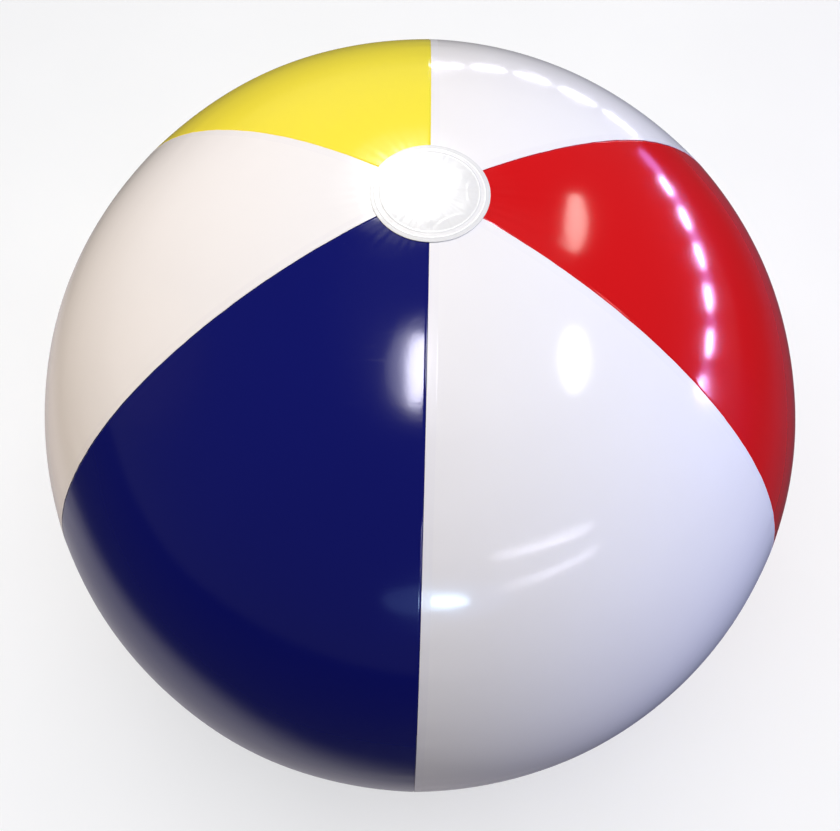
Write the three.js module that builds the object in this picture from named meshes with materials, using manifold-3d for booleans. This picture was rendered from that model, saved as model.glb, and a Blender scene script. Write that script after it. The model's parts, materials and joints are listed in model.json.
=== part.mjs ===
// An inflatable beach ball, blown up hard. Six tapered vinyl panels, every second one white, are welded
// edge to edge into the round skin. A round patch closes the skin at each pole, and one white panel
// carries a push-in valve with a plug on a strap and a check flap.
//
// Millimetres, +Z up. The poles are on the Z axis, and the ball stands on its lower patch at Z = 0.
import * as THREE from "three";
import { mergeVertices } from "three/addons/utils/BufferGeometryUtils.js";
import Module from "manifold-3d";

const wasm = await Module();
wasm.setup();

// ---- Driving dimensions: the skin ----
const PANEL_LENGTH = 1219; // one panel laid flat, from pole to pole: the size that such a ball is sold by
const FILM = 0.3; // thickness of the panel film
const LAP = 6; // width of the welded lap, where a coloured panel's edge lies under a white one
const CONTACT_RADIUS = 35; // the round of skin that the ball's weight presses flat on the floor
const PATCH_RADIUS = 37.5; // the two end patches
const PATCH_FILM = 0.5; // thickness of an end patch
const TIP_OVERLAP = 15; // how far the rounded tips of the panels run in under a patch
const TIP_WIDTH = 0.5; // width of a panel at its very tip, as a share of its full width there
const WELD_RING_MARGIN = 3.4; // plain film outside the ring that the welding die presses into a patch
const WELD_RING_WIDTH = 2.6;
const WELD_RING_DEPTH = 0.15;

// ---- Driving dimensions: the valve, along its own axis with 0 at the outer face of the panel ----
const FLANGE_RADIUS = 21; // the ring that is welded to the inner face of the panel
const FLANGE_FILM = 0.8;
const MOUTH_RADIUS = 13.4; // the round mouth of the valve's cup
const CUP_DEPTH = 10; // depth of the soft cup that carries the stem, and that turns inside out
const CUP_FILM = 0.5;
const STEM_RADIUS = 6;
const BORE_RADIUS = 3.8; // takes the nozzle of a pump, and the plug
const RIM_REACH = 1.2; // how far the stem's upper rim, and the plug's head over it, stand out from it
const RIM_HEIGHT = 1.2;
const STEM_BELOW_CUP = 3; // length of stem that goes on under the cup, down to the check flap
const PLUG_PROUD = 0.4; // how far the plug's head stands above the panel when the valve is pushed in
const PLUG_HEAD = 2.2;
const SPIGOT_LENGTH = 4.5;
const SPIGOT_TAPER = 0.5; // how much narrower the spigot is at its end, so that it finds the bore
const STRAP_WIDTH = 4;
const STRAP_THICKNESS = 0.8;
const TAB_WIDTH = 5; // the finger tab on the plug's head
const TAB_ROOM = 2.8; // finger room between the tab's end and the mouth
const TAB_THICKNESS = 1;
const FLAP_OVERLAP = 0.8; // how far the check flap covers the stem's end, past the bore
const FLAP_THICKNESS = 0.6;

// ---- Clearances ----
const GAP = 0.3; // between two pieces that touch or are welded
const PLUG_CLEARANCE = 0.15; // between the plug's spigot and the bore, at the radius
const HOLE_CLEARANCE = 0.4; // between the valve's mouth and the hole in the panel, at the radius

// ---- How finely the round shapes are divided ----
const FACET_MARGIN = 4; // the panels' facets are at least this much longer, at each end, than the flange
const PATCH_SIDES = 48;
const VALVE_SIDES = 32;
const STRAP_BEND_STEPS = 8;

// ---- What follows from them ----
const PANEL_COUNT = 6;
const PANEL_ANGLE = (2 * Math.PI) / PANEL_COUNT;
const BALL_RADIUS = PANEL_LENGTH / Math.PI;
const TIP_RADIUS = PATCH_RADIUS - TIP_OVERLAP;
const CONTACT_ANGLE = Math.asin(CONTACT_RADIUS / BALL_RADIUS);
const PATCH_OUTER_DEPTH = -(GAP + PATCH_FILM); // depths run inwards from the outer face of the panels
const CENTRE_HEIGHT = BALL_RADIUS * Math.cos(CONTACT_ANGLE) - PATCH_OUTER_DEPTH;
const UNDER_DEPTH = FILM + GAP; // depth of a coloured panel's edge where it runs under a white one
const JOGGLE_START = -2; // the film starts to dip this far before the white panel's edge
const JOGGLE_END = -0.5; // and is fully down here, so that a fine groove shows along the seam
const RIM_RADIUS = STEM_RADIUS + RIM_REACH;
const FLAP_RADIUS = BORE_RADIUS + FLAP_OVERLAP;
const RIM_TOP = PLUG_PROUD - PLUG_HEAD - GAP;
const CUP_TOP = -UNDER_DEPTH;
const CUP_BOTTOM = CUP_TOP - CUP_DEPTH;
const STEM_BOTTOM = CUP_BOTTOM - STEM_BELOW_CUP;

// The valve's flange is flat, so it needs a flat facet: an even number of rows between the patches, and
// an odd number of strips between the laps, each as long and wide as the flange or more.
const FACET_SIZE = 2 * (FLANGE_RADIUS + FACET_MARGIN);
const MAIN_ROWS = 2 * Math.floor((PANEL_LENGTH - 2 * PATCH_RADIUS) / (2 * FACET_SIZE));
const PANEL_WIDTH = BALL_RADIUS * PANEL_ANGLE;
const MAIN_COLUMNS = 1 + 2 * Math.floor(((PANEL_WIDTH - 2 * LAP) / FACET_SIZE - 1) / 2);

const film = (color) => new THREE.MeshStandardMaterial({ color, roughness: 0.22, metalness: 0 });
const MATERIALS = {
  red: film("#d41419"),
  yellow: film("#f7e52e"),
  navy: film("#0c1267"),
  white: film("#efeef4"),
  milky: new THREE.MeshStandardMaterial({
    color: "#dfe1e6",
    roughness: 0.3,
    metalness: 0,
    transparent: true,
    opacity: 0.7,
  }),
  valve: new THREE.MeshStandardMaterial({ color: "#e9ebf0", roughness: 0.35, metalness: 0 }),
};

// The panels in order, counted anticlockwise from the one that faces +X.
const PANELS = [
  { name: "panel_red", material: MATERIALS.red },
  { name: "panel_white_back", material: MATERIALS.white, over: true },
  { name: "panel_yellow", material: MATERIALS.yellow },
  { name: "panel_white_left", material: MATERIALS.white, over: true, valve: true },
  { name: "panel_navy", material: MATERIALS.navy },
  { name: "panel_white_front", material: MATERIALS.white, over: true },
];

// A point of the inflated skin. The azimuth is counted from +X and the colatitude from the top pole.
// The skin is a sphere, pressed flat where the ball stands.
function skinPoint(azimuth, colatitude, depth) {
  const radius = (BALL_RADIUS - depth) * Math.sin(colatitude);
  const pressed = Math.PI - colatitude < CONTACT_ANGLE + 1e-6;
  const height = pressed
    ? depth - BALL_RADIUS * Math.cos(CONTACT_ANGLE)
    : (BALL_RADIUS - depth) * Math.cos(colatitude);
  return new THREE.Vector3(
    radius * Math.cos(azimuth),
    radius * Math.sin(azimuth),
    CENTRE_HEIGHT + height,
  );
}

// The colatitude of a ring of the skin at this distance from the Z axis, near the top pole.
const ringAngle = (radius) => Math.asin(radius / BALL_RADIUS);

// The rows of a panel, from its lower tip to its upper tip: a few close ones in the rounded tip, then
// even steps from the edge of one patch to the edge of the other.
const TIP_STEPS = [0, 0.3];
function panelRows() {
  const roundEnd = TIP_STEPS.map((step) => ({
    angle: ringAngle(TIP_RADIUS + step * (PATCH_RADIUS - TIP_RADIUS)),
    width: TIP_WIDTH + (1 - TIP_WIDTH) * Math.sqrt(1 - (1 - step) ** 2),
  }));
  const patchAngle = ringAngle(PATCH_RADIUS);
  const even = [];
  for (let i = 0; i <= MAIN_ROWS; i++) {
    const share = i / MAIN_ROWS;
    even.push({ colatitude: Math.PI - patchAngle - share * (Math.PI - 2 * patchAngle), width: 1 });
  }
  const lower = roundEnd.map(({ angle, width }) => ({ colatitude: Math.PI - angle, width }));
  const upper = roundEnd.map(({ angle, width }) => ({ colatitude: angle, width })).reverse();
  return [...lower, ...even, ...upper];
}
const ROWS = panelRows();

// The lines that run along a panel from its western to its eastern edge. Each lies at a share of the
// way between the two lap lines, or at a distance outwards from the seam, which is negative inside it.
function panelLines(over) {
  const edge = over
    ? [{ out: 0, depth: 0 }]
    : [
        { out: LAP, depth: UNDER_DEPTH },
        { out: JOGGLE_END, depth: UNDER_DEPTH },
      ];
  const inset = over ? -LAP : JOGGLE_START;
  const main = [];
  for (let i = 0; i <= MAIN_COLUMNS; i++) {
    main.push({ share: i / MAIN_COLUMNS, inset, depth: 0 });
  }
  return [
    ...edge.map((line) => ({ ...line, side: -1 })),
    ...main,
    ...edge.map((line) => ({ ...line, side: 1 })).reverse(),
  ];
}

// Where a line of a panel crosses one of its rows.
function panelPoint(centreAzimuth, line, row, extraDepth) {
  const ring = BALL_RADIUS * Math.sin(row.colatitude);
  const half = PANEL_ANGLE / 2;
  const offset =
    line.share === undefined
      ? line.side * (half + line.out / ring)
      : (2 * line.share - 1) * (half + line.inset / ring);
  return skinPoint(centreAzimuth + offset * row.width, row.colatitude, line.depth + extraDepth);
}

// A panel is a flat sheet of film, divided into strips and rows, and laid onto the sphere.
function panelGeometry(centreAzimuth, over) {
  const lines = panelLines(over);
  const columns = lines.length - 1;
  const rows = ROWS.length - 1;
  const geometry = new THREE.BoxGeometry(columns, rows, 1, columns, rows, 1);
  const position = geometry.attributes.position;
  for (let i = 0; i < position.count; i++) {
    const line = lines[Math.round(position.getX(i) + columns / 2)];
    const row = ROWS[Math.round(position.getY(i) + rows / 2)];
    const extraDepth = position.getZ(i) > 0 ? 0 : FILM;
    const point = panelPoint(centreAzimuth, line, row, extraDepth);
    position.setXYZ(i, point.x, point.y, point.z);
  }
  return bare(geometry);
}

// A geometry with its shared vertices merged, and nothing but positions.
function bare(geometry) {
  geometry.deleteAttribute("normal");
  geometry.deleteAttribute("uv");
  return mergeVertices(geometry, 1e-4);
}

function toSolid(geometry) {
  const vertProperties = new Float32Array(geometry.attributes.position.array);
  const triVerts = new Uint32Array(geometry.index.array);
  return new wasm.Manifold(new wasm.Mesh({ numProp: 3, vertProperties, triVerts }));
}

function toGeometry(solid) {
  const mesh = solid.getMesh();
  const geometry = new THREE.BufferGeometry();
  geometry.setAttribute("position", new THREE.BufferAttribute(mesh.vertProperties, 3));
  geometry.setIndex(new THREE.BufferAttribute(mesh.triVerts, 1));
  geometry.computeVertexNormals();
  return geometry;
}

// A ring or a disc turned around Z from the corners [radius, height] of its section.
function turned(corners, sides) {
  const points = corners.map(([radius, height]) => new THREE.Vector2(radius, height));
  const geometry = new THREE.LatheGeometry(points, sides);
  geometry.rotateX(Math.PI / 2);
  return bare(geometry);
}

// A ring whose section is closed: its corners run anticlockwise, with the radius to the right.
const ring = (corners, sides) => turned([...corners, corners[0]], sides);

// The round patch over the tips of the panels. Its inner face follows them, and a pressed ring runs
// near its edge. The section goes from the lower face on the axis, round the edge, to the upper face.
function endPatchGeometry(isTop) {
  const sectionPoint = (radius, depth) => {
    const angle = ringAngle(radius);
    const point = skinPoint(0, isTop ? angle : Math.PI - angle, depth);
    return [point.x, point.z];
  };
  const inner = [0, TIP_RADIUS, PATCH_RADIUS].map((radius) => sectionPoint(radius, -GAP));
  const ringOutside = PATCH_RADIUS - WELD_RING_MARGIN;
  const ringInside = ringOutside - WELD_RING_WIDTH;
  const edgeOfContact = CONTACT_RADIUS < PATCH_RADIUS ? [[CONTACT_RADIUS, 0]] : [];
  const outer = [
    [0, 0],
    [TIP_RADIUS, 0],
    [ringInside - WELD_RING_DEPTH, 0],
    [ringInside, WELD_RING_DEPTH],
    [ringOutside, WELD_RING_DEPTH],
    [ringOutside + WELD_RING_DEPTH, 0],
    ...edgeOfContact,
    [PATCH_RADIUS, 0],
  ]
    .sort(([a], [b]) => a - b)
    .map(([radius, pressed]) => sectionPoint(radius, PATCH_OUTER_DEPTH + pressed));
  const section = isTop ? [...inner, ...outer.reverse()] : [...outer, ...inner.reverse()];
  return turned(section, PATCH_SIDES);
}

// ---- The valve, in its own frame: Z outwards, 0 at the outer face of the panel ----

function flangeGeometry() {
  const top = -UNDER_DEPTH;
  const bottom = top - FLANGE_FILM;
  return ring(
    [
      [MOUTH_RADIUS, bottom],
      [FLANGE_RADIUS, bottom],
      [FLANGE_RADIUS, top],
      [MOUTH_RADIUS, top],
    ],
    VALVE_SIDES,
  );
}

// The soft cup between the flange and the stem, a cone of thin film.
function cupGeometry() {
  const mouth = cupRadius(CUP_TOP) + CUP_FILM;
  const foot = cupRadius(CUP_BOTTOM);
  return ring(
    [
      [foot, CUP_BOTTOM],
      [foot + CUP_FILM, CUP_BOTTOM],
      [mouth, CUP_TOP],
      [mouth - CUP_FILM, CUP_TOP],
    ],
    VALVE_SIDES,
  );
}

// The inner radius of the cup at a height.
function cupRadius(height) {
  const atMouth = MOUTH_RADIUS - GAP - CUP_FILM;
  const atFoot = STEM_RADIUS + GAP;
  return atFoot + ((atMouth - atFoot) * (height - CUP_BOTTOM)) / CUP_DEPTH;
}

function stemGeometry() {
  const underRim = RIM_TOP - RIM_HEIGHT;
  return ring(
    [
      [BORE_RADIUS, STEM_BOTTOM],
      [STEM_RADIUS, STEM_BOTTOM],
      [STEM_RADIUS, underRim],
      [RIM_RADIUS, underRim],
      [RIM_RADIUS, RIM_TOP],
      [BORE_RADIUS, RIM_TOP],
    ],
    VALVE_SIDES,
  );
}

// The plug: a flat head over the rim, a tapered spigot in the bore, and a tab to pull it by.
function plugGeometry() {
  const headBottom = PLUG_PROUD - PLUG_HEAD;
  const spigot = BORE_RADIUS - PLUG_CLEARANCE;
  const spigotEnd = headBottom - SPIGOT_LENGTH;
  const body = turned(
    [
      [0, spigotEnd],
      [spigot - SPIGOT_TAPER, spigotEnd],
      [spigot, spigotEnd + 2 * SPIGOT_TAPER],
      [spigot, headBottom],
      [RIM_RADIUS, headBottom],
      [RIM_RADIUS, PLUG_PROUD],
      [0, PLUG_PROUD],
    ],
    VALVE_SIDES,
  );
  const rootInset = RIM_RADIUS / 4; // how far the tab's box runs back into the head
  const tabEnd = MOUTH_RADIUS - TAB_ROOM;
  const tabLength = tabEnd - RIM_RADIUS + rootInset;
  const tab = new THREE.BoxGeometry(tabLength, TAB_WIDTH, TAB_THICKNESS);
  tab.translate(tabLength / 2 - tabEnd, 0, PLUG_PROUD - TAB_THICKNESS);
  return toGeometry(toSolid(body).add(toSolid(bare(tab))));
}

// The strap that keeps the plug on the stem, folded into a U that reaches out to the wall of the cup.
function strapGeometry() {
  const lower = RIM_TOP - RIM_HEIGHT / 2;
  const upper = PLUG_PROUD - PLUG_HEAD / 2;
  const bend = (upper - lower) / 2;
  const start = RIM_RADIUS + GAP;
  const half = STRAP_THICKNESS / 2;
  const middle = (lower + upper) / 2;
  const reach = Math.sqrt((cupRadius(lower) - GAP) ** 2 - (STRAP_WIDTH / 2) ** 2);
  const centre = reach - bend - half;
  const outline = new THREE.Shape();
  outline.moveTo(start, lower - half);
  outline.lineTo(centre, lower - half);
  outline.absarc(centre, middle, bend + half, -Math.PI / 2, Math.PI / 2, false);
  outline.lineTo(start, upper + half);
  outline.lineTo(start, upper - half);
  outline.lineTo(centre, upper - half);
  outline.absarc(centre, middle, bend - half, Math.PI / 2, -Math.PI / 2, true);
  outline.lineTo(start, lower + half);
  outline.closePath();
  const settings = { depth: STRAP_WIDTH, bevelEnabled: false, curveSegments: STRAP_BEND_STEPS };
  const geometry = new THREE.ExtrudeGeometry(outline, settings);
  geometry.translate(0, 0, -STRAP_WIDTH / 2);
  geometry.rotateX(Math.PI / 2);
  return bare(geometry);
}

function flapGeometry() {
  const top = STEM_BOTTOM - GAP;
  return turned(
    [
      [0, top - FLAP_THICKNESS],
      [FLAP_RADIUS, top - FLAP_THICKNESS],
      [FLAP_RADIUS, top],
      [0, top],
    ],
    VALVE_SIDES,
  );
}

// The valve is welded at the middle of one flat facet of its panel, a little below the equator.
const VALVE_ROWS_DOWN = 3; // its facet is the third row under the equator
const VALVE_FACET_ROW = TIP_STEPS.length + MAIN_ROWS / 2 - VALVE_ROWS_DOWN;

// The valve's frame: X eastwards along the facet, Y up along it, Z out along its normal.
function valveFrame(centreAzimuth) {
  const lines = panelLines(true);
  const facetLine = (lines.length - 2) / 2;
  const corner = (east, north) =>
    panelPoint(centreAzimuth, lines[facetLine + east], ROWS[VALVE_FACET_ROW + north], 0);
  const bottom = corner(0, 0).lerp(corner(1, 0), 0.5);
  const top = corner(0, 1).lerp(corner(1, 1), 0.5);
  const east = corner(1, 0).sub(corner(0, 0)).normalize();
  const north = top.clone().sub(bottom).normalize();
  const normal = east.clone().cross(north);
  const frame = new THREE.Matrix4().makeBasis(east, north, normal);
  return frame.setPosition(bottom.lerp(top, 0.5));
}

// The valve's hole in its panel, cut right through the film.
function withValveHole(geometry, frame) {
  const radius = MOUTH_RADIUS + HOLE_CLEARANCE;
  const length = 2 * FLANGE_RADIUS;
  const cutter = new THREE.CylinderGeometry(radius, radius, length, VALVE_SIDES);
  cutter.rotateX(Math.PI / 2);
  cutter.applyMatrix4(frame);
  return toGeometry(toSolid(geometry).subtract(toSolid(bare(cutter))));
}

function named(name, geometry, material) {
  const mesh = new THREE.Mesh(geometry, material);
  mesh.name = name;
  return mesh;
}

const ball = new THREE.Group();
PANELS.forEach(({ name, material, over, valve }, index) => {
  const centreAzimuth = index * PANEL_ANGLE;
  const geometry = panelGeometry(centreAzimuth, Boolean(over));
  if (!valve) {
    ball.add(named(name, geometry, material.clone()));
    return;
  }
  const frame = valveFrame(centreAzimuth);
  ball.add(named(name, withValveHole(geometry, frame), material.clone()));
  const assembly = new THREE.Group();
  assembly.add(named("valve_flange", flangeGeometry(), MATERIALS.valve.clone()));
  assembly.add(named("valve_cup", cupGeometry(), MATERIALS.valve.clone()));
  assembly.add(named("valve_stem", stemGeometry(), MATERIALS.valve.clone()));
  assembly.add(named("valve_plug", plugGeometry(), MATERIALS.valve.clone()));
  assembly.add(named("plug_strap", strapGeometry(), MATERIALS.valve.clone()));
  assembly.add(named("check_flap", flapGeometry(), MATERIALS.valve.clone()));
  assembly.applyMatrix4(frame);
  ball.add(assembly);
});
ball.add(named("end_patch_top", endPatchGeometry(true), MATERIALS.milky.clone()));
ball.add(named("end_patch_bottom", endPatchGeometry(false), MATERIALS.milky.clone()));

export default ball;
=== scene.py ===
# %% [markdown]
# # An inflatable beach ball
# A large vinyl ball: six tapered panels welded edge to edge, a milky end patch over each pole, and
# a soft push-in valve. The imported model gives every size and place, and this script gives the looks.
# %% The frame
import json
import math

import bpy
import numpy as np
from mathutils import Matrix, Vector


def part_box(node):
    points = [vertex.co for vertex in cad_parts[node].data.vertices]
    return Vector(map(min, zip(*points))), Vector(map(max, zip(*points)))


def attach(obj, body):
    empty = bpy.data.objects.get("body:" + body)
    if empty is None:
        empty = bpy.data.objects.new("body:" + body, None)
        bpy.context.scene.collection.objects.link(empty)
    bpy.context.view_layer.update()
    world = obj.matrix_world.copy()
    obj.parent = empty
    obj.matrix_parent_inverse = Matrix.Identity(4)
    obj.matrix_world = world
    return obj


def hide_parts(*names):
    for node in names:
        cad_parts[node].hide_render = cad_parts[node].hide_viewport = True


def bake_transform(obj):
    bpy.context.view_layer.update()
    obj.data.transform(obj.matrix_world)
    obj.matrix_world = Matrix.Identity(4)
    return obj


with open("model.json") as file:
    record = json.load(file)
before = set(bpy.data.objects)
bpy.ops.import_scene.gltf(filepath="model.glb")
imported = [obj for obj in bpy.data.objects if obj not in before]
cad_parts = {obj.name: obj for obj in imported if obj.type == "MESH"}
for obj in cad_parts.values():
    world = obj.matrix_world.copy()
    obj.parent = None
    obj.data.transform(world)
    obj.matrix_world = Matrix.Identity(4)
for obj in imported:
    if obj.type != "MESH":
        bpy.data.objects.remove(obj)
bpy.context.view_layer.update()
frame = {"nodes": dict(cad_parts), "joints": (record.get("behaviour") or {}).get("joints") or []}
scene = bpy.context.scene

# %% [markdown]
# The ball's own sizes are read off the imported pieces. A white panel reaches the true radius of the
# ball where its seam crosses the equator. The top patch stands 0.8 mm proud of the panels, so the
# ball's middle is a radius and 0.8 mm under it. The skin is pressed flat where the ball stands.
# %% Sizes
MM = 0.001
FILM = 0.3 * MM
PATCH_GAP = 0.3 * MM  # between the panels and the patch over them
PATCH_PROUD = 0.8 * MM
LAP = 6 * MM  # a coloured panel's edge runs this far under a white one
TIP_OVERLAP = 15 * MM  # the rounded tips run this far in under a patch
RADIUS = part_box("panel_white_back")[1][1]
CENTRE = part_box("end_patch_top")[1][2] - PATCH_PROUD - RADIUS
PATCH_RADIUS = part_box("end_patch_top")[1][0] * RADIUS / (RADIUS + PATCH_PROUD)
CONTACT_ANGLE = math.acos((CENTRE - PATCH_PROUD) / RADIUS)
TIP_RADIUS = PATCH_RADIUS - TIP_OVERLAP
PANEL_ANGLE = math.pi / 3
print(f"radius {RADIUS:.4f} m, middle at {CENTRE:.4f} m, patch radius {PATCH_RADIUS:.4f} m")

# %% [markdown]
# The camera comes first, because the lights are placed from what it sees mirrored in the film. It
# looks steeply down on the top pole from close by, with a wide lens, so it sees less than half of
# the ball. It could stand level in front of a ball that is rolled over, but a ball that stands on
# its patch keeps the poles upright, and that is how the frame is set.
# %% Camera
VIEW_AZIMUTH = math.radians(-1.43)
VIEW_ELEVATION = math.radians(68.98)
VIEW_LEAN = math.radians(2.59)
VIEW_DISTANCE = 1.9 * RADIUS
LENS_MM = 26.0

middle = Vector((0, 0, CENTRE))
towards_camera = Vector((
    math.sin(VIEW_AZIMUTH) * math.cos(VIEW_ELEVATION),
    -math.cos(VIEW_AZIMUTH) * math.cos(VIEW_ELEVATION),
    math.sin(VIEW_ELEVATION),
))
camera_data = bpy.data.cameras.new("camera")
camera_data.lens = LENS_MM
camera_data.clip_start = 0.01
camera = bpy.data.objects.new("camera", camera_data)
scene.collection.objects.link(camera)
camera.location = middle + towards_camera * VIEW_DISTANCE
upright = towards_camera.to_track_quat("Z", "Y").to_matrix()
camera.rotation_euler = (upright @ Matrix.Rotation(VIEW_LEAN, 3, "Z")).to_euler()
scene.camera = camera
print("camera at", [round(v, 3) for v in camera.location])

# %% [markdown]
# ## Effects that several finishes share
# Vinyl film is never quite plain: it is calendered, so it has a faint orange peel, its pigment is a
# little uneven, and hands and sand leave dull smudges, hair scratches and dust on it. Each effect is
# a node group with named inputs and outputs, so every finish can carry its own amount of it.
# %% A helper that starts a node group
def new_group(name, inputs, outputs):
    """An empty node group with its sockets, and the nodes at its two ends."""
    group = bpy.data.node_groups.new(name, "ShaderNodeTree")
    for label, kind, value in inputs:
        socket = group.interface.new_socket(label, in_out="INPUT", socket_type=kind)
        if value is not None:
            socket.default_value = value
    for label, kind in outputs:
        group.interface.new_socket(label, in_out="OUTPUT", socket_type=kind)
    return group, group.nodes.new("NodeGroupInput"), group.nodes.new("NodeGroupOutput")


def node(tree, kind, **settings):
    """A node with its settings."""
    made = tree.nodes.new(kind)
    for key, value in settings.items():
        setattr(made, key, value)
    return made


def maths(tree, operation, *values, clamp=False):
    """A Math node whose inputs are numbers or sockets."""
    made = node(tree, "ShaderNodeMath", operation=operation, use_clamp=clamp)
    for socket, value in zip(made.inputs, values):
        if isinstance(value, (int, float)):
            socket.default_value = value
        else:
            tree.links.new(value, socket)
    return made.outputs[0]


def remap(tree, value, low, high, to_low=0.0, to_high=1.0):
    """Value from low..high to to_low..to_high, smooth at both ends."""
    made = node(tree, "ShaderNodeMapRange", interpolation_type="SMOOTHSTEP")
    tree.links.new(value, made.inputs["Value"])
    for label, number in zip(("From Min", "From Max", "To Min", "To Max"), (low, high, to_low, to_high)):
        made.inputs[label].default_value = number
    return made.outputs["Result"]


def noise(tree, vector, scale, detail=2.0, roughness=0.5, distortion=0.0):
    """A noise value from 0 to 1."""
    made = node(tree, "ShaderNodeTexNoise")
    tree.links.new(vector, made.inputs["Vector"])
    for label, number in (("Scale", scale), ("Detail", detail), ("Roughness", roughness),
                          ("Distortion", distortion)):
        made.inputs[label].default_value = number
    return made.outputs["Fac"]


# %% [markdown]
# The grain is the surface that the calender's rollers leave: a fine orange peel, and broader waves
# in the film. Its height goes to a bump, and its tone makes the pigment a touch lighter and darker.
# %% Calendered grain
def build_grain():
    group, start, end = new_group(
        "calendered_grain",
        [("Vector", "NodeSocketVector", None), ("Peel", "NodeSocketFloat", 1.0),
         ("Waves", "NodeSocketFloat", 1.0), ("Unevenness", "NodeSocketFloat", 0.05)],
        [("Height", "NodeSocketFloat"), ("Tone", "NodeSocketFloat")],
    )
    place = start.outputs["Vector"]
    peel = maths(group, "MULTIPLY", noise(group, place, 420.0, 3.0, 0.6), start.outputs["Peel"])
    waves = maths(group, "MULTIPLY", noise(group, place, 26.0, 2.0), start.outputs["Waves"])
    group.links.new(maths(group, "ADD", peel, waves), end.inputs["Height"])
    cloud = maths(group, "SUBTRACT", noise(group, place, 7.0, 4.0, 0.6), 0.5)
    tone = maths(group, "MULTIPLY_ADD", cloud, start.outputs["Unevenness"], 1.0)
    group.links.new(tone, end.inputs["Tone"])
    return group


GRAIN = build_grain()
print("group", GRAIN.name, [s.name for s in GRAIN.interface.items_tree])

# %% [markdown]
# Handling marks are what a used ball shows in a highlight: cloudy palm smudges, a few hair
# scratches, and specks of dust. They only change the gloss, and dust also greys the colour a little.
# %% Handling marks
def build_marks():
    group, start, end = new_group(
        "handling_marks",
        [("Vector", "NodeSocketVector", None), ("Smudges", "NodeSocketFloat", 0.1),
         ("Scratches", "NodeSocketFloat", 0.1), ("Dust", "NodeSocketFloat", 0.3)],
        [("Dullness", "NodeSocketFloat"), ("Dust Mask", "NodeSocketFloat"),
         ("Height", "NodeSocketFloat")],
    )
    place = start.outputs["Vector"]
    cloudy = remap(group, noise(group, place, 11.0, 5.0, 0.65, 0.6), 0.52, 0.72)
    smudge = maths(group, "MULTIPLY", cloudy, start.outputs["Smudges"])
    stretch = node(group, "ShaderNodeMapping")
    stretch.inputs["Scale"].default_value = (1.0, 14.0, 5.0)
    stretch.inputs["Rotation"].default_value = (0.4, 0.9, 0.3)
    group.links.new(place, stretch.inputs["Vector"])
    hair = remap(group, noise(group, stretch.outputs["Vector"], 38.0, 1.0), 0.705, 0.73)
    scratch = maths(group, "MULTIPLY", hair, start.outputs["Scratches"])
    cells = node(group, "ShaderNodeTexVoronoi")
    cells.inputs["Scale"].default_value = 130.0
    group.links.new(place, cells.inputs["Vector"])
    speck = remap(group, cells.outputs["Distance"], 0.05, 0.025)
    patchy = remap(group, noise(group, place, 5.0, 2.0), 0.5, 0.62)
    dust = maths(group, "MULTIPLY", maths(group, "MULTIPLY", speck, patchy), start.outputs["Dust"])
    dull = maths(group, "ADD", maths(group, "ADD", smudge, scratch), dust)
    group.links.new(dull, end.inputs["Dullness"])
    group.links.new(dust, end.inputs["Dust Mask"])
    group.links.new(scratch, end.inputs["Height"])
    return group


MARKS = build_marks()
print("group", MARKS.name, [s.name for s in MARKS.interface.items_tree])

# %% [markdown]
# A weld is pressed by a heated die with a fine pebbled face. The mesh of a welded piece carries how
# far each point is from the middle of its weld, where 1 is the weld's edge, so the group can press
# the pebbles in between the edges and a thin bead of squeezed film along them.
# %% Weld press
def build_weld():
    group, start, end = new_group(
        "weld_press",
        [("Vector", "NodeSocketVector", None), ("Across", "NodeSocketFloat", 10.0),
         ("Pebbles", "NodeSocketFloat", 1.0), ("Bead", "NodeSocketFloat", 1.0)],
        [("Mask", "NodeSocketFloat"), ("Height", "NodeSocketFloat")],
    )
    across = start.outputs["Across"]
    mask = remap(group, across, 1.04, 0.9)
    cells = node(group, "ShaderNodeTexVoronoi", feature="SMOOTH_F1")
    cells.inputs["Scale"].default_value = 760.0
    group.links.new(start.outputs["Vector"], cells.inputs["Vector"])
    pebble = maths(group, "MULTIPLY", cells.outputs["Distance"], start.outputs["Pebbles"])
    from_edge = maths(group, "ABSOLUTE", maths(group, "SUBTRACT", across, 1.0))
    bead = maths(group, "MULTIPLY", remap(group, from_edge, 0.12, 0.0), start.outputs["Bead"])
    height = maths(group, "ADD", maths(group, "MULTIPLY", pebble, mask), bead)
    group.links.new(mask, end.inputs["Mask"])
    group.links.new(height, end.inputs["Height"])
    return group


WELD = build_weld()
print("group", WELD.name, [s.name for s in WELD.interface.items_tree])

# %% [markdown]
# ## The film's finishes
# PVC film is a pigmented plastic with a smooth soft gloss. It could be a plain glossy colour, but
# held against a real one that reads as paint: film has a bright skin over a body that is a little
# deeper where two layers lie on each other. So each finish is a Principled surface with the shared
# effects, and the colour goes towards its deeper shade in a weld.
# %% Film finishes
def place_group(tree, group, **values):
    made = node(tree, "ShaderNodeGroup", node_tree=group)
    for label, value in values.items():
        socket = made.inputs[label.replace("_", " ").title()]
        if isinstance(value, (int, float)):
            socket.default_value = value
        else:
            tree.links.new(value, socket)
    return made


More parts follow.
